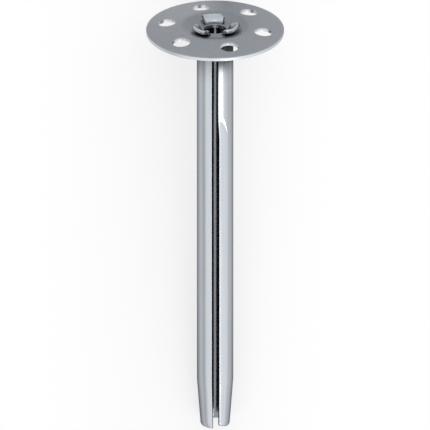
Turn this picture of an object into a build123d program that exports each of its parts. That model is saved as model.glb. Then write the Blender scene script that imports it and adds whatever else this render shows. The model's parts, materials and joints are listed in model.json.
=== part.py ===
from build123d import *
import os
from math import asin, atan, cos, degrees, radians, sin, sqrt

# A metal insulation anchor: a dished, punched steel plate held on the end of a rolled,
# slit steel sleeve. The sleeve's top is cut into three tabs that come up through three
# curved slots of the plate and are bent outward over it. The anchor lies as it comes to
# rest: on the plate's rim and the sleeve's tip, with the slit up.
# Millimetres and degrees. On the anchor itself Z runs along the sleeve towards the plate,
# zero is the top of the plate's rim, and the slit faces -Y.

# Plate
plate_diameter = 35.0
plate_sheet = 1.0
hub_diameter = 10.4
hub_rise = 0.05
crown_diameter = 17.3
crown_rise = 1.05
hub_fold_radius = 4.0
crown_fold_radius = 5.0
centre_hole_diameter = 5.65
rim_break = 0.15
rim_hole_diameter = 4.6
rim_hole_circle = 25.0
rim_hole_count = 6
rim_hole_turn = 105.4
slot_corner_radius = 0.3

# Sleeve
sleeve_diameter = 9.3
sleeve_sheet = 1.0
sleeve_length = 110.0
slit_width = 1.92
tip_taper = 12.7
tip_diameter = 7.45
tip_pinch = 0.2
tip_break = 0.3
corner_cut_width = 2.0
corner_cut_height = 0.8
shoulder_break = 0.17

# The right lip of the slit is pressed into two flats below the plate
lip_length = 22.0
lip_run_out = 4.9
lip_edge_drop = 1.0
lip_inset = 0.32
lip_turn = 42.0

# Tabs
tab_count = 3
tab_turn = 93.0
tab_half_angle = 35.0
tab_bend_radius = 0.4
tab_rise = 27.0
tab_flap = 1.5
tab_end_width = 6.2
tab_end_curve = 30.0
tab_end_round = 13.0
tab_corner_cut = 0.95

# At rest the heavier side is down, which is all but opposite the slit
rest_roll = 0.7

# Clearances
seat_gap = 0.02
slot_gap = 0.12
slot_end_gap = 0.25
fold_gap = 0.1

# Worked out from the sizes above
plate_radius = plate_diameter / 2
outer = sleeve_diameter / 2
inner = outer - sleeve_sheet
tab_radius = outer - shoulder_break
tip_radius = tip_diameter / 2
half_slit = slit_width / 2
shoulder = hub_rise - plate_sheet - seat_gap
tip_end = hub_rise - plate_sheet - sleeve_length
tip_foot_radius = tip_radius + (outer - tip_radius) * tip_break / tip_taper
lip_end = shoulder - lip_length
bend_start = hub_rise + fold_gap - sqrt(tab_bend_radius**2 - (tab_bend_radius - slot_gap) ** 2)
tab_bend = 90 - tab_rise
plate_foot = rim_break - plate_sheet
tip_foot = tip_end + tip_break
rest_tilt = degrees(atan((plate_radius - tip_foot_radius) / (plate_foot - tip_foot)))

# The anchor's own planes, laid down by the resting tilt and rolled to its resting place
lie = radians(rest_tilt)
lying_plane = Plane(origin=(0, 0, 0), x_dir=(1, 0, 0), z_dir=(0, cos(lie), sin(lie)))
axis_plane = Plane(lying_plane.location * Rotation(0, 0, rest_roll))
front_plane = Plane(axis_plane.location * Plane.XZ.location)
anchor_axis = Axis(axis_plane.origin, axis_plane.z_dir)


def polar(radius, angle):
    """A point at a radius and an angle from +X."""
    return Vector(radius, 0).rotate(Axis.Z, angle)


def ring_sector(inside, outside, half_angle):
    """Outline of a piece of a ring, centred on the plane's +X direction."""
    CenterArc((0, 0), outside, -half_angle, 2 * half_angle)
    CenterArc((0, 0), inside, -half_angle, 2 * half_angle)
    for side in (-half_angle, half_angle):
        Line(polar(inside, side), polar(outside, side))


def sheet_line(drop):
    """The plate's face from its centre hole to its rim, lowered by the given drop."""
    return FilletPolyline(
        (centre_hole_diameter / 2, hub_rise - drop),
        (hub_diameter / 2, hub_rise - drop),
        (crown_diameter / 2, crown_rise - drop),
        (plate_radius, -drop),
        radius=[hub_fold_radius, crown_fold_radius],
    )


def tab_slot():
    """One curved slot of the plate, a little larger than the tab that comes through it."""
    half_angle = tab_half_angle + degrees(slot_end_gap / tab_radius)
    with BuildSketch() as slot:
        with BuildLine():
            ring_sector(tab_radius - sleeve_sheet - slot_gap, tab_radius + slot_gap, half_angle)
        make_face()
        fillet(slot.vertices(), slot_corner_radius)
    return slot.sketch


def round_form(radius, tip):
    """The sleeve's outside or inside as a plain round bar with a tapered tip."""
    with BuildPart() as form:
        with BuildSketch(Plane.XZ):
            with BuildLine():
                Polyline(
                    (0, shoulder),
                    (0, tip_end),
                    (tip, tip_end),
                    (radius, tip_end + tip_taper),
                    (radius, shoulder),
                    close=True,
                )
            make_face()
        revolve(axis=Axis.Z)
    return form.part


def lip_form(radius):
    """The wedge between the round form and the two flats of the pressed lip."""
    edge_turn = degrees(asin((half_slit - lip_inset) / outer))
    corner = radius / cos(radians(lip_turn - edge_turn) / 2)
    slit_side = -90
    edge_point = polar(radius, slit_side + edge_turn)
    corner_point = polar(corner, slit_side + (edge_turn + lip_turn) / 2)
    turn_point = polar(radius, slit_side + lip_turn)
    edge_end = edge_point + Vector(0, 0, lip_end - lip_edge_drop)
    corner_end = corner_point + Vector(0, 0, lip_end)
    turn_end = turn_point + Vector(0, 0, lip_end - lip_run_out)
    run_out = Plane(
        origin=corner_end,
        x_dir=edge_end - corner_end,
        z_dir=(turn_end - corner_end).cross(edge_end - corner_end),
    )
    with BuildPart() as form:
        with BuildSketch(Plane.XY.offset(shoulder)):
            with BuildLine():
                Polyline((0, 0), edge_point, corner_point, turn_point, close=True)
            make_face()
        extrude(amount=-lip_length - 2 * lip_run_out)
        split(bisect_by=run_out, keep=Keep.TOP)
    return form.part


def fold_directions(turn):
    """Where the strip faces and where it runs after a turn of the fold."""
    outward = Vector(cos(radians(turn)), 0, -sin(radians(turn)))
    along = Vector(sin(radians(turn)), 0, cos(radians(turn)))
    return outward, along


def tab_section(turn, run):
    """The tab's cross-section after a turn of the fold and a run along the flat flap."""
    fold_length = radians(tab_bend) * (tab_bend_radius + sleeve_sheet / 2)
    share = (fold_length * turn / tab_bend + run) / (fold_length + tab_flap)
    curve = 1 / ((1 - share) / tab_radius + share / tab_end_curve)
    start_half_width = tab_radius * sin(radians(tab_half_angle))
    half_width = start_half_width + share * (tab_end_width / 2 - start_half_width)
    outward, along = fold_directions(turn)
    pivot = Vector(tab_radius + tab_bend_radius, 0, bend_start)
    centre = pivot + along * run - outward * (tab_bend_radius + curve)
    with BuildSketch(Plane(origin=centre, x_dir=outward, z_dir=along)) as section:
        with BuildLine():
            ring_sector(curve - sleeve_sheet, curve, degrees(asin(half_width / curve)))
        make_face()
    return section.sketch


def flap_plane():
    """The plane of the flap's upper face, with its origin at the middle of the flap's end."""
    outward, along = fold_directions(tab_bend)
    pivot = Vector(tab_radius + tab_bend_radius, 0, bend_start)
    end = pivot + along * tab_flap - outward * (tab_bend_radius + sleeve_sheet)
    return Plane(origin=end, x_dir=along, z_dir=-outward)


def bent_tab():
    """One tab, towards +X: the rolled strip comes up, folds outward and flattens."""
    fold = [tab_section(tab_bend * step / 3, 0) for step in range(4)]
    flap = [tab_section(tab_bend, tab_flap * step / 2) for step in (1, 2)]
    with BuildPart() as tab:
        with BuildSketch(Plane.XY.offset(shoulder)):
            with BuildLine():
                ring_sector(tab_radius - sleeve_sheet, tab_radius, tab_half_angle)
            make_face()
        extrude(amount=bend_start - shoulder)
        loft(fold + flap)
        # The end is sheared to a shallow round, with the corner on the clockwise side cut off
        corner_back = tab_end_round - sqrt(tab_end_round**2 - (tab_end_width / 2) ** 2)
        with BuildSketch(flap_plane()):
            with Locations((0, 0)):
                Rectangle(2 * tab_flap, 2 * tab_end_width)
            with Locations((-tab_end_round, 0)):
                Circle(tab_end_round, mode=Mode.SUBTRACT)
            with Locations((-corner_back, -tab_end_width / 2)):
                Polygon(
                    (-2 * tab_corner_cut, -tab_corner_cut),
                    (tab_corner_cut, -tab_corner_cut),
                    (tab_corner_cut, 2 * tab_corner_cut),
                    align=None,
                )
        extrude(amount=2 * sleeve_sheet, both=True, mode=Mode.SUBTRACT)
    return tab.part


with BuildPart() as plate:
    with BuildSketch(front_plane):
        with BuildLine():
            face = sheet_line(0)
            back = sheet_line(plate_sheet)
            Line(face @ 0, back @ 0)
            Line(face @ 1, back @ 1)
        section = make_face()
        chamfer(section.vertices().sort_by(Axis.X)[-2:], rim_break)
    revolve(axis=anchor_axis)
    with BuildSketch(axis_plane):
        with PolarLocations(rim_hole_circle / 2, rim_hole_count, rim_hole_turn):
            Circle(rim_hole_diameter / 2)
        with PolarLocations(0, tab_count, tab_turn):
            add(tab_slot())
    extrude(amount=plate_diameter, both=True, mode=Mode.SUBTRACT)

with BuildPart(axis_plane) as sleeve:
    add(round_form(outer, tip_radius))
    add(lip_form(outer))
    add(round_form(inner, tip_radius - sleeve_sheet), mode=Mode.SUBTRACT)
    chamfer(sleeve.faces().sort_by(anchor_axis)[0].edges(), tip_break)
    chamfer(sleeve.faces().sort_by(anchor_axis)[-1].outer_wire().edges(), shoulder_break)
    add(lip_form(inner), mode=Mode.SUBTRACT)
    with BuildSketch(front_plane):
        with BuildLine():
            Polyline(
                (-half_slit, shoulder + sleeve_sheet),
                (-half_slit, tip_end + tip_taper),
                (-half_slit + tip_pinch, tip_end - sleeve_sheet),
                (half_slit, tip_end - sleeve_sheet),
                (half_slit, lip_end - lip_run_out),
                (half_slit - lip_inset, lip_end),
                (half_slit - lip_inset, shoulder + sleeve_sheet),
                close=True,
            )
        make_face()
        with BuildLine():
            Polyline(
                (half_slit, tip_end),
                (half_slit, tip_end + corner_cut_height),
                (half_slit + corner_cut_width, tip_end),
                close=True,
            )
        make_face()
    extrude(amount=sleeve_diameter, mode=Mode.SUBTRACT)
    with PolarLocations(0, tab_count, tab_turn):
        add(bent_tab())

# The origin goes under the middle of the lying anchor, on the surface that it lies on
lying_box = Compound([plate.part, sleeve.part]).bounding_box()
to_origin = Location((-lying_box.center().X, -lying_box.center().Y, -lying_box.min.Z))
plate.part.move(to_origin)
sleeve.part.move(to_origin)

os.makedirs("parts", exist_ok=True)
plate.part.label = "plate"
export_step(plate.part, "parts/plate.step")
sleeve.part.label = "sleeve"
export_step(sleeve.part, "parts/sleeve.step")

anchor_place = to_origin * axis_plane.location
hub_centre = anchor_place * Location((0, 0, hub_rise))
round_top = shoulder - shoulder_break
round_end = tip_end + tip_taper
sleeve_middle = anchor_place * Location((0, 0, (round_top + round_end) / 2))
print("resting tilt of the sleeve", round(rest_tilt, 3), "size", lying_box.size)
print("centre of the hub's face", hub_centre.position, "towards the plate", axis_plane.z_dir)
print("middle of the sleeve's round length", sleeve_middle.position, "length", round_top - round_end)
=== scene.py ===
# %% [markdown]
# ## A metal insulation anchor on a studio floor
# The real anchor is two pressings of zinc-plated sheet steel: a dished, punched round plate,
# and a rolled, slit sleeve whose three tabs come up through the plate and fold outward over
# it. It lies as it comes to rest, on the plate's rim and the sleeve's tip, with the slit up.
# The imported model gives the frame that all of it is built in, in metres.

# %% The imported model
import bpy
import bmesh
import json
from math import asin, atan2, ceil, cos, degrees, hypot, pi, radians, sin, sqrt, tan
from mathutils import Matrix, Vector


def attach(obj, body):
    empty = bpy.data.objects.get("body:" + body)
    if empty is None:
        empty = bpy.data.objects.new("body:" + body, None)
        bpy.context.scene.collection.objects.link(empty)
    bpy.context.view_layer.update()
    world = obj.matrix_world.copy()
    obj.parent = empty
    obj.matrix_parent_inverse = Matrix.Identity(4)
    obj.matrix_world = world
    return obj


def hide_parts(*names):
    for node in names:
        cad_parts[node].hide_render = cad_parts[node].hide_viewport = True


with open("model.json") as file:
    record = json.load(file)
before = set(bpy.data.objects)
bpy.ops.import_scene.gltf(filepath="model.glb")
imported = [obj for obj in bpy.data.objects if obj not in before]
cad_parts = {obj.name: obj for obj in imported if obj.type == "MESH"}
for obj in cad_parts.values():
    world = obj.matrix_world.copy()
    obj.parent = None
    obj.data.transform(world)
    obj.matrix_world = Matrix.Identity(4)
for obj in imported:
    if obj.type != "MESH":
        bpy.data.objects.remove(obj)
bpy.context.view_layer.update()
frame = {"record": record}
scene = bpy.context.scene
mounts = {mount["name"]: mount for mount in frame["record"]["mounts"]}

# %% [markdown]
# ## The anchor's own frame
# Every size of a pressing is easiest to give on the anchor itself, stood on its sleeve: Z runs
# along the sleeve to the plate, zero is the top of the plate's rim and the slit faces -Y. The
# record says where the middle of the plate's hub is and which way the sleeve points, and the
# anchor comes to rest rolled a little round its sleeve. One matrix takes millimetres on the
# anchor to metres in the frame.

# %% From the anchor to the frame
MM = 0.001
hub_rise = 0.05
rest_roll = 0.7

hub_place = Vector(mounts["rim_holes"]["pos_m"])
along = Vector(mounts["rim_holes"]["axis"]).normalized()
across = Vector((1, 0, 0))
to_frame = (
    Matrix.Translation(hub_place)
    @ Matrix((across, along.cross(across), along)).transposed().to_4x4()
    @ Matrix.Rotation(radians(rest_roll), 4, "Z")
    @ Matrix.Scale(MM, 4)
    @ Matrix.Translation((0, 0, -hub_rise))
)
lean = atan2(along.z, along.y)
print("the sleeve leans", round(degrees(lean), 2), "degrees")

# %% [markdown]
# ## Nodes
# Materials and geometry trees are both built from nodes. One small function adds a node, sets
# its properties and values and makes its links, so that a tree reads from top to bottom. Its
# inputs are given by name, or by number where two share a name. A Math node adds by default.

# %% Adding a node
def add_node(tree, kind, settings=(), **inputs):
    """A new node. Inputs are given by name, or by number as _0, and are values or links."""
    node = tree.nodes.new(kind)
    for name, value in dict(settings).items():
        setattr(node, name, value)
    for name, value in inputs.items():
        key = int(name[1:]) if name[0] == "_" else name.replace("_", " ")
        for source in value if isinstance(value, list) else [value]:
            if isinstance(source, bpy.types.NodeSocket):
                tree.links.new(source, node.inputs[key])
            else:
                node.inputs[key].default_value = source
    return node


# %% Colours
def colour(hex_value):
    """The linear colour of an sRGB hex value."""
    channels = [((hex_value >> shift) & 255) / 255 for shift in (16, 8, 0)]
    linear = [c / 12.92 if c <= 0.04045 else ((c + 0.055) / 1.055) ** 2.4 for c in channels]
    return (*linear, 1)


print("a light steel grey is", [round(channel, 3) for channel in colour(0xBCC0C6)])

# %% [markdown]
# ## Zinc-plated steel: its grain
# Both pieces are cut from sheet steel and plated with zinc in a bath, which leaves a bright,
# slightly bluish grey skin. Close up the skin is finely grained, and the draw marks of a rolled
# strip run along it. Over a few millimetres the zinc drifts between a cooler and a warmer grey.
# All of that is noise on Object coordinates. An image would be simpler to paint, but noise has
# no seams on a bent tab and stays sharp at any distance.

# %% The grain and the tint
# The real grain is under 0.1 mm, too fine to show, so it is drawn at 0.8 mm.
grain_width = 0.8 * MM
cloud_width = 7.0 * MM
grain_detail, cloud_detail = 3.0, 2.0
cool_zinc, warm_zinc = 0xF6F9FF, 0xFFFDF6


def plated_skin(tree, light, dark, draw):
    """The skin's colour and its grain. The grain is longer along the sleeve by the factor draw."""
    place = add_node(tree, "ShaderNodeTexCoord").outputs["Object"]
    drawn = add_node(tree, "ShaderNodeMapping", {"vector_type": "TEXTURE"}, Vector=place,
                     Rotation=(lean, 0, 0), Scale=(1, draw, 1)).outputs[0]
    grain = add_node(tree, "ShaderNodeTexNoise", Vector=drawn, Scale=1 / grain_width, Detail=grain_detail)
    cloud = add_node(tree, "ShaderNodeTexNoise", Vector=place, Scale=1 / cloud_width, Detail=cloud_detail)
    tone = add_node(tree, "ShaderNodeMix", {"data_type": "RGBA"}, Factor=grain.outputs["Fac"],
                    _6=colour(dark), _7=colour(light))
    tint = add_node(tree, "ShaderNodeMix", {"data_type": "RGBA"}, Factor=cloud.outputs["Fac"],
                    _6=colour(cool_zinc), _7=colour(warm_zinc))
    tinted = add_node(tree, "ShaderNodeMix", {"data_type": "RGBA", "blend_type": "MULTIPLY"},
                      Factor=1.0, _6=tone.outputs[2], _7=tint.outputs[2])
    return tinted.outputs[2], grain.outputs["Fac"]


print("grain", 1 / grain_width, "and cloud", round(1 / cloud_width), "to the metre")

# %% [markdown]
# ## Zinc-plated steel: wear, cuts and painted shade
# Handling in the box polishes the edges, and a punch burnishes the wall of its hole, so both
# are lighter. The edges that were cut before the sheet was rolled stay dull. The inside of the
# sleeve and the plate's dish are darkened as painted shade, for the hollow of the tube and the
# hollow inside the crown. The meshes say where their cuts, walls and dish are, in attributes.
# Wear isn't modelled by hand: a Bevel node rounds the normals near an edge, and where they
# differ from the real ones is an edge.

# %% Wear, cuts and painted shade on the skin
edge_wear_width = 0.35 * MM
least_bend, full_bend = 0.98, 0.8
most_wear = 0.6
wear_samples = 6
burnished_zinc = 0xC6C9CD
# The inside of the sleeve and the plate's dish get painted shade; the cut edges are dull.
dull_and_shaded = (("inner_wall", 0xB0B0B4), ("cut_edge", 0x606064), ("dished", 0xF1F1F3))


def marked(tree, name):
    """What a mesh says about its surface, from 0 to 1."""
    return add_node(tree, "ShaderNodeAttribute", {"attribute_name": name}).outputs["Fac"]


def worn_and_shaded(tree, tone):
    """The skin's colour: worn edges, burnished walls, dull cuts, painted shade in the sleeve and dish."""
    normal = add_node(tree, "ShaderNodeNewGeometry").outputs["Normal"]
    rounded_off = add_node(tree, "ShaderNodeBevel", {"samples": wear_samples}, Radius=edge_wear_width)
    bend = add_node(tree, "ShaderNodeVectorMath", {"operation": "DOT_PRODUCT"},
                    _0=normal, _1=rounded_off.outputs[0])
    worn = add_node(tree, "ShaderNodeMapRange", _0=bend.outputs["Value"], _1=least_bend,
                    _2=full_bend, _3=0.0, _4=most_wear)
    bright = add_node(tree, "ShaderNodeMath", {"operation": "MAXIMUM"},
                      _0=worn.outputs[0], _1=marked(tree, "burnished"))
    tone = add_node(tree, "ShaderNodeMix", {"data_type": "RGBA"}, Factor=bright.outputs[0],
                    _6=tone, _7=colour(burnished_zinc)).outputs[2]
    for name, shade in dull_and_shaded:
        tone = add_node(tree, "ShaderNodeMix", {"data_type": "RGBA", "blend_type": "MULTIPLY"},
                        Factor=marked(tree, name), _6=tone, _7=colour(shade)).outputs[2]
    return tone


print("wear reaches", round(edge_wear_width / MM, 2), "mm in from an edge")

# %% [markdown]
# ## Zinc-plated steel: painted shade in its corners
# Where the sleeve meets the plate, little light gets into the corner, so the colour there is
# darkened as painted shade. An Ambient Occlusion node measures how much of the space over a
# point is covered. Its result is raised to a power, which the mesh can raise further where the
# painted shade should be deepest.

# %% Corner shading
corner_samples = 16


def corner_shaded(tree, tone, reach, power):
    """The skin's colour with painted shade in corners that are nearer than the reach."""
    corner = add_node(tree, "ShaderNodeAmbientOcclusion", {"samples": corner_samples}, Distance=reach)
    total = add_node(tree, "ShaderNodeMath", _0=marked(tree, "corner_shade"), _1=power)
    shade = add_node(tree, "ShaderNodeMath", {"operation": "POWER"},
                     _0=corner.outputs["AO"], _1=total.outputs[0])
    return add_node(tree, "ShaderNodeMix", {"data_type": "RGBA", "blend_type": "MULTIPLY"},
                    Factor=1.0, _6=tone, _7=shade.outputs[0]).outputs[2]


# %% A zinc-plated steel
inside_roughness = 0.16
roughness_drift = 0.02
grain_low, grain_high = 0.3, 0.7
bump_height = 0.02 * MM
bump_strength = 0.35


def zinc_plated_steel(name, light, dark, grazing, draw, roughness, corner_reach, corner_power):
    """Zinc-plated sheet steel: grained, edge-worn, with painted shade in its corners, tinted at a grazing
    look.
    """
    material = bpy.data.materials.new(name)
    material.use_nodes = True
    tree = material.node_tree
    tree.nodes.clear()
    skin, grain = plated_skin(tree, light, dark, draw)
    tone = corner_shaded(tree, worn_and_shaded(tree, skin), corner_reach, corner_power)
    even = add_node(tree, "ShaderNodeMapRange", _0=marked(tree, "inner_wall"),
                    _3=roughness, _4=inside_roughness)
    drift = add_node(tree, "ShaderNodeMapRange", _0=grain, _1=grain_low, _2=grain_high,
                     _3=-roughness_drift, _4=roughness_drift)
    rough = add_node(tree, "ShaderNodeMath", _0=even.outputs[0], _1=drift.outputs[0])
    bump = add_node(tree, "ShaderNodeBump", Strength=bump_strength, Distance=bump_height, Height=grain)
    shader = add_node(tree, "ShaderNodeBsdfPrincipled", Base_Color=tone, Metallic=1.0,
                      Roughness=rough.outputs[0], Normal=bump.outputs[0],
                      Specular_Tint=colour(grazing))
    add_node(tree, "ShaderNodeOutputMaterial", Surface=shader.outputs[0])
    return material


# %% The two steels
# A plated sheet is a soft mirror. Pressing between dies mattens it, and rolling smooths it.
# The rolled wall darkens towards its outline, where it is looked at along its surface.
pressed_steel = zinc_plated_steel(
    "pressed_zinc_plated_steel", light=0x9EA2A8, dark=0x8E9298, grazing=0xF0F0F2, draw=1,
    roughness=0.36, corner_reach=4 * MM, corner_power=0.12)
rolled_steel = zinc_plated_steel(
    "rolled_zinc_plated_steel", light=0xC0C4CA, dark=0xB0B4BA, grazing=0xA0A0A4, draw=30,
    roughness=0.22, corner_reach=14 * MM, corner_power=0.0)
print("steels", [(steel.name, len(steel.node_tree.nodes)) for steel in (pressed_steel, rolled_steel)])

# %% [markdown]
# ## The plate's blank
# The plate starts as a disc that is pressed to a dish: a flat hub, a raised ring (the crown)
# and a rim that slopes away from it. Its cut through the middle is the same all round, so it is
# drawn once, as a line with rounded folds and edges, and a geometry tree turns it round later.

# %% The plate's sizes, in millimetres
plate_radius = 17.5
sheet = 1.0
hub_radius = 5.2
crown_radius = 8.65
crown_rise = 1.05
hub_fold = 4.0
crown_fold = 5.0
centre_hole_radius = 2.825
rim_break = 0.15
edge_roll = 0.13
burr_edge = 0.03
print("the rim slopes", round(degrees(atan2(crown_rise, plate_radius - crown_radius)), 1), "degrees")

# %% Rounding a line's corners
chord = 0.25
least_steps = 4


def rounded(corners, radii):
    """The points of a closed line whose corners are rounded by arcs of the given radii."""
    points = []
    for i, radius in enumerate(radii):
        corner = Vector(corners[i])
        before = (Vector(corners[i - 1]) - corner).normalized()
        after = (Vector(corners[(i + 1) % len(corners)]) - corner).normalized()
        half = before.angle(after) / 2
        centre = corner + (before + after).normalized() * radius / sin(half)
        start = (corner + before * radius / tan(half) - centre).normalized()
        end = (corner + after * radius / tan(half) - centre).normalized()
        steps = max(least_steps, ceil(radius * (pi - 2 * half) / chord))
        points += [centre + start.slerp(end, step / steps) * radius for step in range(steps + 1)]
    return points


# %% Dividing its long runs
def divided(points, longest):
    """The same closed line with its long runs divided."""
    result = []
    for i, point in enumerate(points):
        result.append(point)
        after = points[(i + 1) % len(points)]
        parts = ceil((after - point).length / longest)
        result += [point.lerp(after, part / parts) for part in range(1, parts)]
    return result


# %% The section of the plate
longest_run = 1.0
face_corners = [(centre_hole_radius, hub_rise), (hub_radius, hub_rise),
                (crown_radius, crown_rise), (plate_radius, 0)]
back_corners = [(x, z - sheet) for x, z in reversed(face_corners)]
face_radii = [edge_roll, hub_fold, crown_fold, rim_break]
back_radii = [rim_break, crown_fold, hub_fold, burr_edge]
section = divided(rounded(face_corners + back_corners, face_radii + back_radii), longest_run)
face_line = section[: max(range(len(section)), key=lambda i: section[i].x)]
print("section", len(section), "points,", len(face_line), "of them on the face")


# %% The height of the plate's face
def face_height(radius):
    """How high the plate's face is at a distance from its middle."""
    for inner, outer in zip(face_line, face_line[1:]):
        if inner.x <= radius <= outer.x:
            return inner.y + (outer.y - inner.y) * (radius - inner.x) / (outer.x - inner.x)
    return face_line[0].y if radius < face_line[0].x else face_line[-1].y


print("face at", {radius: round(face_height(radius), 3) for radius in (4, 6.5, 8.65, 12.5, 17)})

# %% [markdown]
# ## The punches
# A press punches the holes, and each punch drags the sheet's edge down a little before it cuts,
# which leaves the soft, rounded edge that catches the light round every hole. Bevelling the
# finished holes would be slower and would fail where facets meet. So each hole is cut by a
# solid of its own outline, with a small flare where it meets the plate's face.

# %% A punch from its outline
punch_reach = 4.0
roll_profile = ((0.0, -1.0), (0.134, -0.5), (0.5, -0.134), (1.5, 0.134))


def new_object(name, data):
    """An object of a mesh, lamp or camera, in the scene."""
    made = bpy.data.objects.new(name, data)
    scene.collection.objects.link(made)
    return made


def punch(name, outline):
    """A solid from an outline that is given by how far it is offset, flared at the plate's face."""
    rings = [[(x, y, -punch_reach) for x, y in outline(0)]]
    for wider, height in roll_profile:
        rings.append([(x, y, face_height(hypot(x, y)) + height * edge_roll)
                      for x, y in outline(wider * edge_roll)])
    rings.append([(x, y, punch_reach) for x, y, _ in rings[-1]])
    vertices = [vertex for ring in rings for vertex in ring]
    count = len(rings[0])
    faces = [tuple(reversed(range(count))), tuple(range(len(vertices) - count, len(vertices)))]
    for start in range(0, len(vertices) - count, count):
        for i in range(count):
            a, b = start + i, start + (i + 1) % count
            faces.append((a, b, b + count, a + count))
    mesh = bpy.data.meshes.new(name)
    mesh.from_pydata(vertices, [], faces)
    print(name, len(faces), "faces")
    return new_object(name, mesh)


# %% The round punch
rim_hole_radius = 2.3
rim_hole_circle = 12.5
around_hole = 64


def rim_hole(offset):
    """A circle on the pitch circle of the rim's holes."""
    turns = [2 * pi * i / around_hole for i in range(around_hole)]
    radius = rim_hole_radius + offset
    return [(rim_hole_circle + radius * cos(turn), radius * sin(turn)) for turn in turns]


hole_punch = punch("hole_punch", rim_hole)

# %% [markdown]
# ## The curved punch
# Three slots let the sleeve's tabs through. Each is a rounded rectangle that is bent round the
# plate's middle, a little wider and longer than its tab. It is easiest to draw straight, with
# its long sides divided, and then to bend point by point.

# %% The curved punch
sleeve_radius = 4.65
shoulder_break = 0.17
tab_radius = sleeve_radius - shoulder_break
tab_half_angle = radians(35)
slot_gap = 0.12
slot_end_gap = 0.25
slot_corner = 0.3
slot_step = 0.21


def tab_slot(offset):
    """A rounded rectangle, bent round the plate's middle."""
    middle = tab_radius - sheet / 2
    length = (tab_half_angle + slot_end_gap / tab_radius) * middle + offset
    width = sheet / 2 + slot_gap + offset
    corners = [(-length, -width), (length, -width), (length, width), (-length, width)]
    straight = divided(rounded(corners, [slot_corner + offset] * 4), slot_step)
    # Bending the outline outward turns it inside out, so its points are taken backwards.
    return [((middle + p.y) * cos(p.x / middle), (middle + p.y) * sin(p.x / middle))
            for p in reversed(straight)]


slot_punch = punch("slot_punch", tab_slot)

# %% [markdown]
# ## The press
# The plate's shape follows a rule: one section turned round, one punch repeated six times and
# another three times. That is work for Geometry Nodes, so that the number of holes or their
# turn is one input and not a new drawing. The first half of the tree sets a punch on as many
# points as it is told, each turned by its share of a full turn.

# %% Setting the punches
press_inputs = (
    ("Section", "Geometry"), ("Turned At", "Float"), ("Facets", "Int"),
    ("Hole Punch", "Object"), ("Hole Count", "Int"), ("Hole Turn", "Float"),
    ("Slot Punch", "Object"), ("Slot Count", "Int"), ("Slot Turn", "Float"),
    ("Sharp Above", "Float"), ("Wall Below", "Float"), ("Dish Edge", "Float"), ("Steel", "Material"),
)


def set_punches(tree, given, kind):
    """The punch of one kind, repeated round the plate's middle."""
    count = given[kind + " Count"]
    tool = add_node(tree, "GeometryNodeObjectInfo", Object=given[kind + " Punch"])
    step = add_node(tree, "ShaderNodeMath", {"operation": "DIVIDE"}, _0=2 * pi, _1=count)
    index = add_node(tree, "GeometryNodeInputIndex").outputs[0]
    angle = add_node(tree, "ShaderNodeMath", {"operation": "MULTIPLY_ADD"},
                     _0=index, _1=step.outputs[0], _2=given[kind + " Turn"])
    rotation = add_node(tree, "ShaderNodeCombineXYZ", Z=angle.outputs[0])
    places = add_node(tree, "GeometryNodePoints", Count=count)
    placed = add_node(tree, "GeometryNodeInstanceOnPoints", Points=places.outputs[0],
                      Instance=tool.outputs["Geometry"], Rotation=rotation.outputs[0])
    return add_node(tree, "GeometryNodeRealizeInstances", Geometry=placed.outputs[0]).outputs[0]


# %% [markdown]
# ## Marking the pressing
# The second half of the tree gives the pressing what its steel needs to know. Faces that stand
# upright are the burnished walls of holes and rim. Points inside the crown are in the dish.
# Edges that turn by more than a fold does are sharp, and everything else is shaded smooth.

# %% Sharp edges, walls and dish
dish_blend = 0.4
soft_step = {"interpolation_type": "SMOOTHSTEP"}


def mark_pressing(tree, given, shape):
    """The pressing with its sharp edges, and with its burnished walls and its dish marked."""
    shape = add_node(tree, "GeometryNodeSetShadeSmooth", {"domain": "FACE"}, Geometry=shape).outputs[0]
    angle = add_node(tree, "GeometryNodeInputMeshEdgeAngle").outputs[0]
    sharp = add_node(tree, "FunctionNodeCompare", {"operation": "GREATER_THAN"},
                     _0=angle, _1=given["Sharp Above"])
    shape = add_node(tree, "GeometryNodeSetShadeSmooth", {"domain": "EDGE"}, Geometry=shape,
                     Selection=sharp.outputs[0], Shade_Smooth=False).outputs[0]
    facing = add_node(tree, "ShaderNodeSeparateXYZ",
                      Vector=add_node(tree, "GeometryNodeInputNormal").outputs[0])
    level = add_node(tree, "ShaderNodeMath", {"operation": "ABSOLUTE"}, _0=facing.outputs["Z"])
    wall = add_node(tree, "FunctionNodeCompare", {"operation": "LESS_THAN"},
                    _0=level.outputs[0], _1=given["Wall Below"])
    shape = add_node(tree, "GeometryNodeStoreNamedAttribute", {"data_type": "FLOAT", "domain": "FACE"},
                     Geometry=shape, Name="burnished", Value=wall.outputs[0]).outputs[0]
    spot = add_node(tree, "ShaderNodeVectorMath", {"operation": "MULTIPLY"},
                    _0=add_node(tree, "GeometryNodeInputPosition").outputs[0], _1=(1, 1, 0))
    radius = add_node(tree, "ShaderNodeVectorMath", {"operation": "LENGTH"}, _0=spot.outputs[0])
    inside = add_node(tree, "ShaderNodeMath", {"operation": "SUBTRACT"},
                      _0=given["Dish Edge"], _1=radius.outputs["Value"])
    dished = add_node(tree, "ShaderNodeMapRange", soft_step, _0=inside.outputs[0],
                      _1=-dish_blend, _2=dish_blend, _3=0.0, _4=1.0)
    return add_node(tree, "GeometryNodeStoreNamedAttribute", {"data_type": "FLOAT", "domain": "POINT"},
                    Geometry=shape, Name="dished", Value=dished.outputs[0]).outputs[0]


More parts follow.
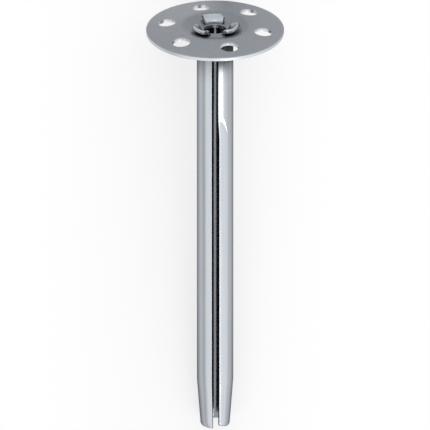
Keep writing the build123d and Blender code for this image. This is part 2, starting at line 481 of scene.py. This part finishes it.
# %% The press tree
def press_tree():
    """Turns the section into the plate's blank and cuts the punches out of it."""
    tree = bpy.data.node_groups.new("pressed_plate", "GeometryNodeTree")
    tree.interface.new_socket("Plate", in_out="OUTPUT", socket_type="NodeSocketGeometry")
    for name, kind in press_inputs:
        tree.interface.new_socket(name, in_out="INPUT", socket_type="NodeSocket" + kind)
    given = add_node(tree, "NodeGroupInput").outputs
    outline = add_node(tree, "GeometryNodeMeshToCurve", Mesh=given["Section"])
    ring = add_node(tree, "GeometryNodeCurvePrimitiveCircle",
                    Radius=given["Turned At"], Resolution=given["Facets"])
    blank = add_node(tree, "GeometryNodeCurveToMesh",
                     Curve=ring.outputs["Curve"], Profile_Curve=outline.outputs[0])
    punches = [set_punches(tree, given, kind) for kind in ("Hole", "Slot")]
    cut = add_node(tree, "GeometryNodeMeshBoolean", {"operation": "DIFFERENCE", "solver": "EXACT"},
                   Mesh_1=blank.outputs[0], Mesh_2=punches)
    pressing = mark_pressing(tree, given, cut.outputs[0])
    real = add_node(tree, "GeometryNodeRealizeInstances", Geometry=pressing)
    plated = add_node(tree, "GeometryNodeSetMaterial", Geometry=real.outputs[0], Material=given["Steel"])
    add_node(tree, "NodeGroupOutput", Plate=plated.outputs[0])
    return tree


# %% [markdown]
# ## From a modifier to a plain mesh
# The tree runs as a modifier on the section, and the pieces are wanted as plain meshes. So the
# evaluated shape is copied out, its doubles are merged, and the anchor's matrix carries it to
# the frame. An open edge would mean a gap in the metal, so they are counted, and the volume is
# printed to set against the solid's.

# %% Baking a piece
merge_distance = 0.0005


def baked(name, source):
    """A plain object of what another's modifiers make, placed in the frame."""
    mesh = bpy.data.meshes.new_from_object(source.evaluated_get(bpy.context.evaluated_depsgraph_get()))
    mesh.name = name
    shape = bmesh.new()
    shape.from_mesh(mesh)
    bmesh.ops.remove_doubles(shape, verts=shape.verts, dist=merge_distance)
    open_edges = sum(not edge.is_manifold for edge in shape.edges)
    volume = round(shape.calc_volume(signed=True), 1)
    print(name, len(shape.faces), "faces,", open_edges, "open edges, volume", volume)
    shape.to_mesh(mesh)
    shape.free()
    mesh.transform(to_frame)
    bpy.data.objects.remove(source)
    return new_object(name, mesh)


# %% Pressing the plate
facets = 240
hole_count, slot_count = 6, 3
# The first hole and the first slot lie at these turns from the anchor's X.
hole_turn, slot_turn = radians(105.4), radians(93)
least_sharp_turn = radians(24)
# A face is a wall if its normal rises or falls by less than this.
wall_normal_rise = 0.35
dish_edge = 8.5

section_mesh = bpy.data.meshes.new("section")
section_mesh.from_pydata([(p.x - centre_hole_radius, -p.y, 0) for p in section],
                         [(i, (i + 1) % len(section)) for i in range(len(section))], [])
blank = new_object("blank", section_mesh)
press = blank.modifiers.new("press", "NODES")
press.node_group = press_tree()
settings = {
    "Turned At": centre_hole_radius, "Facets": facets,
    "Hole Punch": hole_punch, "Hole Count": hole_count, "Hole Turn": hole_turn,
    "Slot Punch": slot_punch, "Slot Count": slot_count, "Slot Turn": slot_turn,
    "Sharp Above": least_sharp_turn, "Wall Below": wall_normal_rise, "Dish Edge": dish_edge,
    "Steel": pressed_steel,
}
for item in press.node_group.interface.items_tree:
    if item.in_out == "INPUT" and item.name in settings:
        press[item.identifier] = settings[item.name]
print("press tree", len(press.node_group.nodes), "nodes")

# %% The finished plate
plate = baked("pressed_plate", blank)
for tool in (hole_punch, slot_punch):
    bpy.data.objects.remove(tool)
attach(plate, "root")
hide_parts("plate")

# %% [markdown]
# ## The rolled sleeve
# The sleeve is one strip, rolled until its edges nearly meet. It is slit along its whole
# length, tapered and pinched at the tip, and one corner of its foot is cut off so that it finds
# its hole. Under the plate the right lip of the slit is pressed into two flats. A tube made
# from a cylinder would need all of this cut into it, so the strip is built as a grid instead:
# columns run along the sleeve, and every point is placed by a rule for its turn and height.

# %% The sleeve's sizes, in millimetres
sleeve_length = 110.0
slit_half = 0.96
tip_taper = 12.7
tip_radius = 3.725
tip_pinch = 0.2
corner_cut_width = 2.0
corner_cut_height = 0.8
lip_length = 22.0
lip_run_out = 4.9
lip_edge_drop = 1.0
lip_inset = 0.32
lip_turn = radians(42)
seat_gap = 0.02

shoulder = hub_rise - sheet - seat_gap
tip_end = hub_rise - sheet - sleeve_length
taper_start = tip_end + tip_taper
lip_end = shoulder - lip_length
lip_edge = asin((slit_half - lip_inset) / sleeve_radius)
lip_corner = (lip_edge + lip_turn) / 2
print("the sleeve runs from", shoulder, "to", tip_end)


# %% The round wall and the slit's edges
def between(low, high, value):
    """How far a value is from low to high, kept from 0 to 1."""
    return min(max((value - low) / (high - low), 0), 1)


def wall_radius(z):
    """The round wall's outside radius at a height."""
    return tip_radius + (sleeve_radius - tip_radius) * between(tip_end, taper_start, z)


def slit_right(z):
    """The turn of the slit's right edge, from the slit's middle."""
    drawn_in = lip_inset * between(lip_end - lip_run_out, lip_end, z)
    return asin((slit_half - drawn_in) / wall_radius(z))


def slit_left(z):
    """The turn of the slit's left edge, which the tip is pinched at."""
    pinched = tip_pinch * (1 - between(tip_end, taper_start, z))
    return -asin((slit_half - pinched) / wall_radius(z))


def rolled(turn, radius, z):
    """A point of the rolled sheet, by its turn from the slit's middle."""
    return Vector((radius * sin(turn), -radius * cos(turn), z))


print("slit at the tip", [round(degrees(edge(tip_end)), 1) for edge in (slit_left, slit_right)], "degrees")

# %% The lip's two flats
# The second flat ends a little proud of the round wall, so that its slanted end keeps some width.
flat_blend = 0.03
flat_proud = 0.07


def lip_radius(turn, radius):
    """The radius where the lip is pressed into two flats, with a soft corner between them."""
    if not lip_edge < turn <= lip_turn:
        return radius
    first, second = radius / cos(turn - lip_edge), (radius + flat_proud) / cos(lip_turn - turn)
    mix = max(flat_blend - abs(first - second), 0) / flat_blend
    return min(first, second) - mix * mix * flat_blend / 4


print("the lip's corner stands", round(lip_radius(lip_corner, sleeve_radius) - sleeve_radius, 3), "mm proud")

# %% [markdown]
# ## The grid's columns
# A grid only bends cleanly if its lines follow the shape. So the turns where the shape changes
# are marked first: the flats' corner, the flats' end and both edges of all three tabs. Each
# stretch between two marks is divided evenly, and only the stretches beside the slit stretch
# and shrink as the slit's edges move.

# %% Columns between the marks
tab_turns = [radians(63), radians(183), radians(303)]
tab_marks = [turn + side * tab_half_angle for turn in tab_turns for side in (-1, 1)]
marks = sorted([lip_corner, lip_turn] + tab_marks)
column_step = radians(3)
columns = []
for i in range(len(marks) + 1):
    low = marks[i - 1] if i else lip_edge
    high = marks[i] if i < len(marks) else 2 * pi - lip_edge
    parts = max(1, round((high - low) / column_step))
    columns += [(i, part / parts) for part in range(parts)]
columns.append((len(marks), 1.0))


def column_turn(column, z):
    """Where a column of the grid is at a height: the slit's edges move, and the marks don't."""
    i, share = column
    low = marks[i - 1] if i else slit_right(z)
    high = marks[i] if i < len(marks) else 2 * pi + slit_left(z)
    return low + (high - low) * share


print(len(columns), "columns,", len(marks), "marks")

# %% [markdown]
# ## The lip's run-out
# The flats don't fade out evenly. The die that pressed them ended in a slanted edge, so they
# end in a diagonal that catches the light. It is a plane through three known points, and each
# column asks that plane where its flat ends and where its round wall begins.

# %% Where each column leaves the flats
least_run_out = 0.3


def run_out_heights(turn):
    """Where the slanted end of the lip leaves the flats and meets the round wall, at a turn."""
    if not lip_edge <= turn <= lip_turn:
        return lip_end - lip_run_out + least_run_out / 2, lip_end - lip_run_out - least_run_out / 2
    edge = rolled(lip_edge, sleeve_radius, lip_end - lip_edge_drop)
    corner = rolled(lip_corner, sleeve_radius / cos(lip_corner - lip_edge), lip_end)
    end = rolled(lip_turn, sleeve_radius, lip_end - lip_run_out)
    normal = (end - corner).cross(edge - corner)
    heights = []
    for radius in (lip_radius(turn, sleeve_radius), sleeve_radius):
        at = rolled(turn, radius, corner.z) - corner
        heights.append(lip_end - (normal.x * at.x + normal.y * at.y) / normal.z)
    spare = max(0, least_run_out - (heights[0] - heights[1])) / 2
    return heights[0] + spare, heights[1] - spare


for turn in (lip_edge, lip_corner, lip_turn):
    span = [round(z, 2) for z in run_out_heights(turn)]
    print("at", round(degrees(turn)), "degrees the run-out spans", span)

# %% The rows of a column
support = 0.15
lip_rows, below_rows, long_rows, taper_rows = 10, 3, 16, 10
below_run_out = 3.0
run_out_shares = (0, 0.12, 0.5, 0.88, 1)


def evenly(start, end, parts, lip):
    """Heights from start to end in even steps, without the start, each with its share of the lip."""
    return [(start + (end - start) * i / parts, lip) for i in range(1, parts + 1)]


def foot_height(column):
    """Where a column ends: at the tip, or a little higher where the foot's corner is cut off."""
    turn = column_turn(column, tip_end)
    if turn >= pi / 2:
        return tip_end
    return tip_end + corner_cut_height * max(0, 1 - (tip_radius * sin(turn) - slit_half) / corner_cut_width)


def wall_heights(column):
    """The heights of a column's points, from the shoulder down, each with its share of the lip."""
    upper, lower = run_out_heights(column_turn(column, lip_end))
    edge = shoulder - shoulder_break
    below = lip_end - lip_run_out - below_run_out
    rows = [(shoulder, 0.0), (edge, 1.0)]
    rows += evenly(edge, upper + support, lip_rows, 1.0)
    rows += [(upper + (lower - upper) * share, 1 - share) for share in run_out_shares]
    rows += [(lower - support, 0.0)] + evenly(lower - support, below, below_rows, 0.0)
    rows += evenly(below, taper_start, long_rows, 0.0)
    return rows + evenly(taper_start, foot_height(column), taper_rows, 0.0)


print(len(wall_heights(columns[0])), "rows in a column")

# %% [markdown]
# ## The tabs
# The three tabs rise from the shoulder, pass through their slots and fold outward over the hub.
# They start as part of a tight tube and end nearly flat, so both the fold and the curve across
# it change on the way. Each point knows how far along its tab it is, and that gives the bend
# it has made, how wide the tab is there and how round it still is.

# %% The tabs' sizes, in millimetres
tab_bend = radians(63)
bend_radius = 0.4
flap_length = 1.5
flap_half_width = 3.1
flap_curve = 30.0
flap_end_round = 13.0
flap_corner_cut = 0.95
fold_gap = 0.1
straight_rows = 2
tab_rows = 14
bend_start = hub_rise + fold_gap - sqrt(bend_radius**2 - (bend_radius - slot_gap) ** 2)
fold_length = tab_bend * (bend_radius + sheet / 2)


def flap_end(share):
    """How long the flap is at a share of its half width: a shallow round and one cut corner."""
    y = share * flap_half_width
    corner_back = flap_end_round - sqrt(flap_end_round**2 - flap_half_width**2)
    length = flap_length - flap_end_round + sqrt(flap_end_round**2 - y * y)
    return min(length, flap_length - corner_back + (y + flap_half_width) - flap_corner_cut)


print("the fold is", round(fold_length, 2), "mm long and starts at", round(bend_start, 3))


# %% A point of a tab
def tab_point(tab_turn, turn, row, depth):
    """A point of a tab: straight up through its slot, round the fold and along the flap."""
    share = (turn - tab_turn) / tab_half_angle
    if row <= straight_rows:
        return rolled(turn, tab_radius - depth, shoulder + (bend_start - shoulder) * row / straight_rows)
    run = (fold_length + flap_end(share)) * (row - straight_rows) / (tab_rows - straight_rows)
    bend, flat = tab_bend * min(run / fold_length, 1), max(run - fold_length, 0)
    done = run / (fold_length + flap_length)
    curve = 1 / ((1 - done) / tab_radius + done / flap_curve)
    start_half = tab_radius * sin(tab_half_angle)
    half_width = start_half + done * (flap_half_width - start_half)
    outward = Vector((cos(bend), 0, -sin(bend)))
    upward = Vector((sin(bend), 0, cos(bend)))
    centre = Vector((tab_radius + bend_radius, 0, bend_start))
    centre = centre + upward * flat - outward * (bend_radius + curve)
    spread = asin(half_width / curve) * share
    point = centre + (outward * cos(spread) + Vector((0, 1, 0)) * sin(spread)) * (curve - depth)
    return Matrix.Rotation(tab_turn - pi / 2, 3, "Z") @ point


flap_tip = tab_point(tab_turns[0], tab_turns[0], tab_rows, 0)
print("a flap ends", round(flap_tip.xy.length, 2), "mm from the middle,", round(flap_tip.z, 2), "mm up")

# %% [markdown]
# ## One sheet, two faces
# The same rules give the outer face of the sheet at depth zero and its inner face a sheet's
# thickness in. Solidify would guess that thickness from normals and pinch it in the folds. The
# two faces are then joined by a strip of quads wherever a side of a quad has no neighbour.

# %% The points of one face
angle_slack = 1e-6


def wall_point(column, row, z, lip, depth):
    """A point of the wall. The top row is drawn in to where the tabs rise."""
    turn = column_turn(column, z)
    radius = (wall_radius(z) if row else tab_radius) - depth
    return rolled(turn, radius + lip * (lip_radius(turn, radius) - radius), z)


def sheet_grid(depth):
    """The points of one face of the rolled sheet: its wall's columns and its tabs'."""
    points, wall, tabs = [], [], []
    for column in columns:
        rows = wall_heights(column)
        wall.append(range(len(points), len(points) + len(rows)))
        points += [wall_point(column, i, z, lip, depth) for i, (z, lip) in enumerate(rows)]
    for tab_turn in tab_turns:
        strip = []
        for i, column in enumerate(columns):
            turn = column_turn(column, shoulder)
            if abs(turn - tab_turn) <= tab_half_angle + angle_slack:
                strip.append([wall[i][0]] + list(range(len(points), len(points) + tab_rows)))
                points += [tab_point(tab_turn, turn, row, depth) for row in range(1, tab_rows + 1)]
        tabs.append(strip)
    return points, wall, tabs


outer, wall, tabs = sheet_grid(0)
inner = sheet_grid(sheet)[0]
print(len(outer), "points on each face,", [len(strip) for strip in tabs], "columns in the tabs")

# %% The faces and the open sides
wall_quads, tab_quads = [], []
for left, right in zip(wall, wall[1:]):
    wall_quads += [(left[i], left[i + 1], right[i + 1], right[i]) for i in range(len(left) - 1)]
for strip in tabs:
    for left, right in zip(strip, strip[1:]):
        tab_quads += [(left[i], right[i], right[i + 1], left[i + 1]) for i in range(len(left) - 1)]
quads = wall_quads + tab_quads
sides = {}
for quad in quads:
    for a, b in zip(quad, quad[1:] + quad[:1]):
        if sides.pop((b, a), None) is None:
            sides[(a, b)] = True
count = len(outer)
faces = quads + [tuple(count + i for i in reversed(quad)) for quad in quads]
faces += [(b, a, count + a, count + b) for a, b in sides]
sleeve_mesh = bpy.data.meshes.new("rolled_sleeve")
sleeve_mesh.from_pydata(outer + inner, [], faces)
sleeve_mesh.materials.append(rolled_steel)
sleeve_mesh.shade_smooth()
print(len(faces), "faces,", len(sides), "open sides joined")

# %% [markdown]
# ## What the steel needs to know
# The steel asks the mesh which faces are inside and which are cut edges, and how deep the
# painted shade under the plate is. That painted shade stands for the plate's shadow on the
# sleeve and is darkest on the lip and on the wall to its right. It is given point by point, so
# that it blends. The wall's own powers are pairs of degrees round the wall and the power there:
# the underside, near 190 degrees, stays lighter than the sides, and the left side, near 285
# degrees, has the highest of them.

# %% Inside, cut edges and the corner's painted shade
# The plate's painted shadow on the sleeve starts 11 mm under the rim, is full at 7.5 mm and thins nearer the
# plate.
plate_shadow_start, plate_shadow_full, plate_shadow_thins = -11.0, -7.5, -2.0
plate_shadow_thinning = 0.6
# Painted shade round the wall, as the power at each turn in degrees.
wall_powers = ((0, 2.2), (110, 2.2), (140, 1.2), (240, 1.2), (285, 3.6), (330, 2.2), (360, 2.2))
# The lip's first flat and the tabs' folds get painted shade of their own.
lip_power = 5.0
wall_plate_shadow, lip_plate_shadow = 6.5, 8.0
fold_power = 0.4
right_side = radians(110)


def corner_power(turn, z):
    """The power that the corner's shade is raised to, at a turn and height of the wall."""
    plate_shadow = between(plate_shadow_start, plate_shadow_full, z) ** 2 * (1 - plate_shadow_thinning * between(plate_shadow_full, plate_shadow_thins, z))
    if turn < lip_corner:
        return lip_power + lip_plate_shadow * plate_shadow
    at = degrees(turn)
    power = next(low + (high - low) * between(before, after, at)
                 for (before, low), (after, high) in zip(wall_powers, wall_powers[1:]) if at <= after)
    return power + wall_plate_shadow * plate_shadow * (1 - between(lip_turn, right_side, turn))


tab_points = {i for strip in tabs for column in strip for i in column[1:]}
# inner_wall darkens the inside as painted shade; cut_edge marks the wall's dull cut edges.
face_marks = {
    "inner_wall": [0.0] * len(quads) + [1.0] * len(wall_quads) + [0.0] * (len(tab_quads) + len(sides)),
    "cut_edge": [0.0] * (2 * len(quads)) + [0.0 if side & tab_points else 1.0 for side in map(set, sides)],
}
powers = [corner_power(column_turn(column, outer[i].z), outer[i].z)
          for column, run in zip(columns, wall) for i in run]
powers += [fold_power] * (count - len(powers)) + [0.0] * count
for name, values in face_marks.items():
    sleeve_mesh.attributes.new(name, "FLOAT", "FACE").data.foreach_set("value", values)
sleeve_mesh.attributes.new("corner_shade", "FLOAT", "POINT").data.foreach_set("value", powers)
print({name: int(sum(values)) for name, values in face_marks.items()}, "largest power", round(max(powers), 1))

# %% [markdown]
# ## Breaking the edges
# No real edge is a knife. The foot is tumbled round, the slit's edges and the shoulders are
# broken by rolling, and the tabs keep a fine burr. One Bevel modifier does all three, with a
# weight on each edge for its share of the width.

# %% Edge weights and the bevel
full_break = 0.3
foot_share, slit_share, tab_share = 1.0, 0.3, 0.15

feet = {run[-1] for run in wall}
shares = {}
for a, b in sides:
    share = foot_share if {a, b} <= feet else tab_share if {a, b} & tab_points else slit_share
    shares[frozenset((a, b))] = shares[frozenset((a + count, b + count))] = share
weights = sleeve_mesh.attributes.new("bevel_weight_edge", "FLOAT", "EDGE")
for edge in sleeve_mesh.edges:
    weights.data[edge.index].value = shares.get(frozenset(edge.vertices), 0.0)
sleeve_source = new_object("sleeve_source", sleeve_mesh)
breaks = sleeve_source.modifiers.new("broken_edges", "BEVEL")
breaks.limit_method = "WEIGHT"
breaks.width = full_break
breaks.segments = 2
breaks.use_clamp_overlap = False
print(len(shares), "edges to break")

# %% The finished sleeve
sleeve = baked("rolled_sleeve", sleeve_source)
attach(sleeve, "root")
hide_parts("sleeve")

# %% [markdown]
# ## The floor
# The anchor lies on matt white card, as in a product photograph, and the photo's ground is
# plain white. So the card turns into plain white light away from the anchor, for the camera and
# for mirrors such as this steel, and near the anchor it stays card enough to hold its shadow. A
# stage lamp could burn the card white as well, but it would burn the steel too. In front of the
# plate lies a small patch of painted light, plain white that only mirrors see, for the plate's dish.

# %% Lengths on the floor
floor_half = 12.0
shadow_reach = (4 * MM, 45 * MM)
shadow_shift = 8 * MM
plate_front = 56 * MM
least_white_seen = 0.65
least_white_mirrored = 0.35
# A patch of painted light on the card, seen only in mirrors.
patch_place = (-11 * MM, 58 * MM, 0)
patch_reach = (6 * MM, 20 * MM)
card_white, light_white = 0xF2F2F3, 0xFFFFFF


def away_from_anchor(tree, place):
    """How far a floor point is beside the middle of the anchor and its shadow, or beyond its ends."""
    parts = add_node(tree, "ShaderNodeSeparateXYZ", Vector=place).outputs
    beside = add_node(tree, "ShaderNodeMath", _0=parts["X"], _1=shadow_shift)
    beside = add_node(tree, "ShaderNodeMath", {"operation": "ABSOLUTE"}, _0=beside.outputs[0])
    beyond = add_node(tree, "ShaderNodeMath", {"operation": "ABSOLUTE"}, _0=parts["Y"])
    beyond = add_node(tree, "ShaderNodeMath", {"operation": "SUBTRACT"},
                      _0=beyond.outputs[0], _1=plate_front)
    return add_node(tree, "ShaderNodeMath", {"operation": "MAXIMUM"},
                    _0=beside.outputs[0], _1=beyond.outputs[0]).outputs[0]


print("the shadow is kept for", round(shadow_reach[1] / MM), "mm")


# %% How white the card is
def white_share(tree, away, least, rays, patch=0.0):
    """How much of the card is plain white to one kind of ray."""
    share = add_node(tree, "ShaderNodeMapRange", soft_step, _0=away,
                     _1=shadow_reach[0], _2=shadow_reach[1], _3=least, _4=1.0)
    share = add_node(tree, "ShaderNodeMath", {"operation": "MAXIMUM"}, _0=share.outputs[0], _1=patch)
    share = add_node(tree, "ShaderNodeMath", {"operation": "MULTIPLY"}, _0=share.outputs[0], _1=rays)
    return share.outputs[0]


# %% White card
def matt_white_card():
    """Matt white card. It keeps the shadow near the anchor and is plain white further away."""
    material = bpy.data.materials.new("matt_white_card")
    material.use_nodes = True
    tree = material.node_tree
    tree.nodes.clear()
    place = add_node(tree, "ShaderNodeTexCoord").outputs["Object"]
    away = away_from_anchor(tree, place)
    # The patch of painted light, for mirrors only.
    to_patch = add_node(tree, "ShaderNodeVectorMath", {"operation": "DISTANCE"}, _0=place, _1=patch_place)
    patch = add_node(tree, "ShaderNodeMapRange", soft_step, _0=to_patch.outputs["Value"],
                     _1=patch_reach[0], _2=patch_reach[1], _3=1.0, _4=0.0).outputs[0]
    rays = add_node(tree, "ShaderNodeLightPath").outputs
    mirrored = add_node(tree, "ShaderNodeMath", {"operation": "MAXIMUM"},
                        _0=rays["Is Glossy Ray"], _1=rays["Is Transmission Ray"]).outputs[0]
    shares = [white_share(tree, away, least_white_seen, rays["Is Camera Ray"]),
              white_share(tree, away, least_white_mirrored, mirrored, patch)]
    share = add_node(tree, "ShaderNodeMath", {"operation": "MAXIMUM"}, _0=shares[0], _1=shares[1])
    card = add_node(tree, "ShaderNodeBsdfDiffuse", Color=colour(card_white))
    white = add_node(tree, "ShaderNodeEmission", Color=colour(light_white), Strength=1.0)
    mixed = add_node(tree, "ShaderNodeMixShader",
                     _0=share.outputs[0], _1=card.outputs[0], _2=white.outputs[0])
    add_node(tree, "ShaderNodeOutputMaterial", Surface=mixed.outputs[0])
    return material


white_card = matt_white_card()
print("card", len(white_card.node_tree.nodes), "nodes")

# %% Laying the floor
floor_mesh = bpy.data.meshes.new("floor")
floor_corners = [(x * floor_half, y * floor_half, 0) for x, y in ((-1, -1), (1, -1), (1, 1), (-1, 1))]
floor_mesh.from_pydata(floor_corners, [], [(0, 1, 2, 3)])
floor_mesh.materials.append(white_card)
floor = new_object("floor", floor_mesh)
print("floor", 2 * floor_half, "m wide")

# %% [markdown]
# ## The light
# A mirror shows its surroundings, so the light here is drawn by what the steel should show. A
# tent of light over the sleeve's side gives the broad pale bands. A lit screen beyond the plate
# shows in the folded tabs, and the gap between the two gives the dark edges. The camera sees
# plain white instead. All of it is one sky, made from three soft steps, because lamps that
# large would only be seen as a sky anyway.

# %% The sky's levels and edges
# An edge is where a light starts and where it is full, by how much the sky there faces its way.
tent_level = 1.05
fill_level = 0.32
screen_level = 0.8
tent_edge, screen_edge = (0.1, 0.25), (0.15, 0.4)
horizon_up = (0.22, 0, 1)
horizon_edge = (-0.02, 0.3)
below_horizon = 0.35


def lit_from(tree, towards, direction, edge, level, least=0.0):
    """A soft step up to a level, in the part of the sky that lies towards a direction."""
    facing = add_node(tree, "ShaderNodeVectorMath", {"operation": "DOT_PRODUCT"}, _0=towards, _1=direction)
    return add_node(tree, "ShaderNodeMapRange", soft_step, _0=facing.outputs["Value"],
                    _1=edge[0], _2=edge[1], _3=least, _4=level).outputs[0]


# %% The sky
def studio_sky():
    """A wide tent of light over the sleeve's side of the anchor, and a lit screen beyond its plate."""
    world = bpy.data.worlds.new("studio")
    world.use_nodes = True
    tree = world.node_tree
    tree.nodes.clear()
    towards = add_node(tree, "ShaderNodeTexCoord").outputs["Generated"]
    side = lit_from(tree, towards, (0, -1, 0), tent_edge, tent_level)
    above = lit_from(tree, towards, horizon_up, horizon_edge, 1.0, least=below_horizon)
    screen = lit_from(tree, towards, (0, 1, 0), screen_edge, screen_level)
    tent = add_node(tree, "ShaderNodeMath", {"operation": "MULTIPLY"}, _0=side, _1=above)
    level = add_node(tree, "ShaderNodeMath", _0=tent.outputs[0], _1=fill_level)
    level = add_node(tree, "ShaderNodeMath", _0=level.outputs[0], _1=screen)
    camera_ray = add_node(tree, "ShaderNodeLightPath").outputs["Is Camera Ray"]
    sky = add_node(tree, "ShaderNodeBackground", Color=colour(light_white), Strength=level.outputs[0])
    white = add_node(tree, "ShaderNodeBackground", Color=colour(light_white), Strength=1.0)
    shown = add_node(tree, "ShaderNodeMixShader", _0=camera_ray, _1=sky.outputs[0], _2=white.outputs[0])
    add_node(tree, "ShaderNodeOutputWorld", Surface=shown.outputs[0])
    return world


scene.world = studio_sky()
print("sky levels", tent_level + fill_level, fill_level, screen_level + fill_level)

# %% [markdown]
# ## Two lamps
# The photo has one hard, bright stripe down the lip's flat and its slanted end. Both mirror the
# same part of the room, so one narrow lamp stands there, with its long side pointing to the
# top of the room. A second, dimmer one above the plate draws the bright line on the tabs' folds.

# %% Softboxes
lamp_distance = 1.2


def softbox(name, towards, size, radiance):
    """An area lamp that shines on the anchor from a direction, as bright to look at as radiance."""
    lamp = bpy.data.lights.new(name, "AREA")
    lamp.shape = "RECTANGLE"
    lamp.size, lamp.size_y = size
    lamp.energy = radiance * pi * size[0] * size[1]
    body = new_object(name, lamp)
    back = Vector(towards).normalized()
    body.location = back * lamp_distance
    body.rotation_euler = back.to_track_quat("Z", "Y").to_euler()
    body.visible_camera = False
    print(name, "gives", round(lamp.energy, 2), "watts")


softbox("key_lamp", towards=(0.346, -0.633, 0.693), size=(0.15, 0.62), radiance=4.0)
softbox("fold_lamp", towards=(0, 0.62, 0.78), size=(0.5, 0.15), radiance=1.6)

# %% [markdown]
# ## The camera
# The photo shows the anchor upright and from slightly above, and with no perspective: the plate
# is as large at its back as at its front. So the lens is very long and the camera far away. Its
# direction is given on the anchor, as the rise over the plate and the turn round the sleeve,
# and its distance follows from how many of the photo's pixels one millimetre takes.

# %% The camera
view_rise = radians(25.23)
view_turn = radians(1.5)
pixels_per_mm = 3.923
photo_side = 430
camera_lens = 1650.0
sensor = 36.0
furthest_view = 100.0
view_middle = Vector((-0.025, 0, -52.16))

distance = camera_lens / sensor * photo_side / pixels_per_mm * MM
turned = to_frame.to_3x3().normalized()
back = turned @ Vector((-sin(view_turn) * cos(view_rise), -cos(view_turn) * cos(view_rise), sin(view_rise)))
right = (turned @ Vector((0, 0, 1))).cross(back).normalized()
camera = new_object("camera", bpy.data.cameras.new("camera"))
camera.data.lens = camera_lens
camera.data.sensor_width = sensor
camera.data.clip_end = furthest_view
camera.matrix_world = (Matrix.Translation(to_frame @ view_middle + back * distance)
                       @ Matrix((right, back.cross(right), back)).transposed().to_4x4())
scene.camera = camera
scene.view_settings.view_transform = "Standard"
print("the camera is", round(distance, 2), "m away")
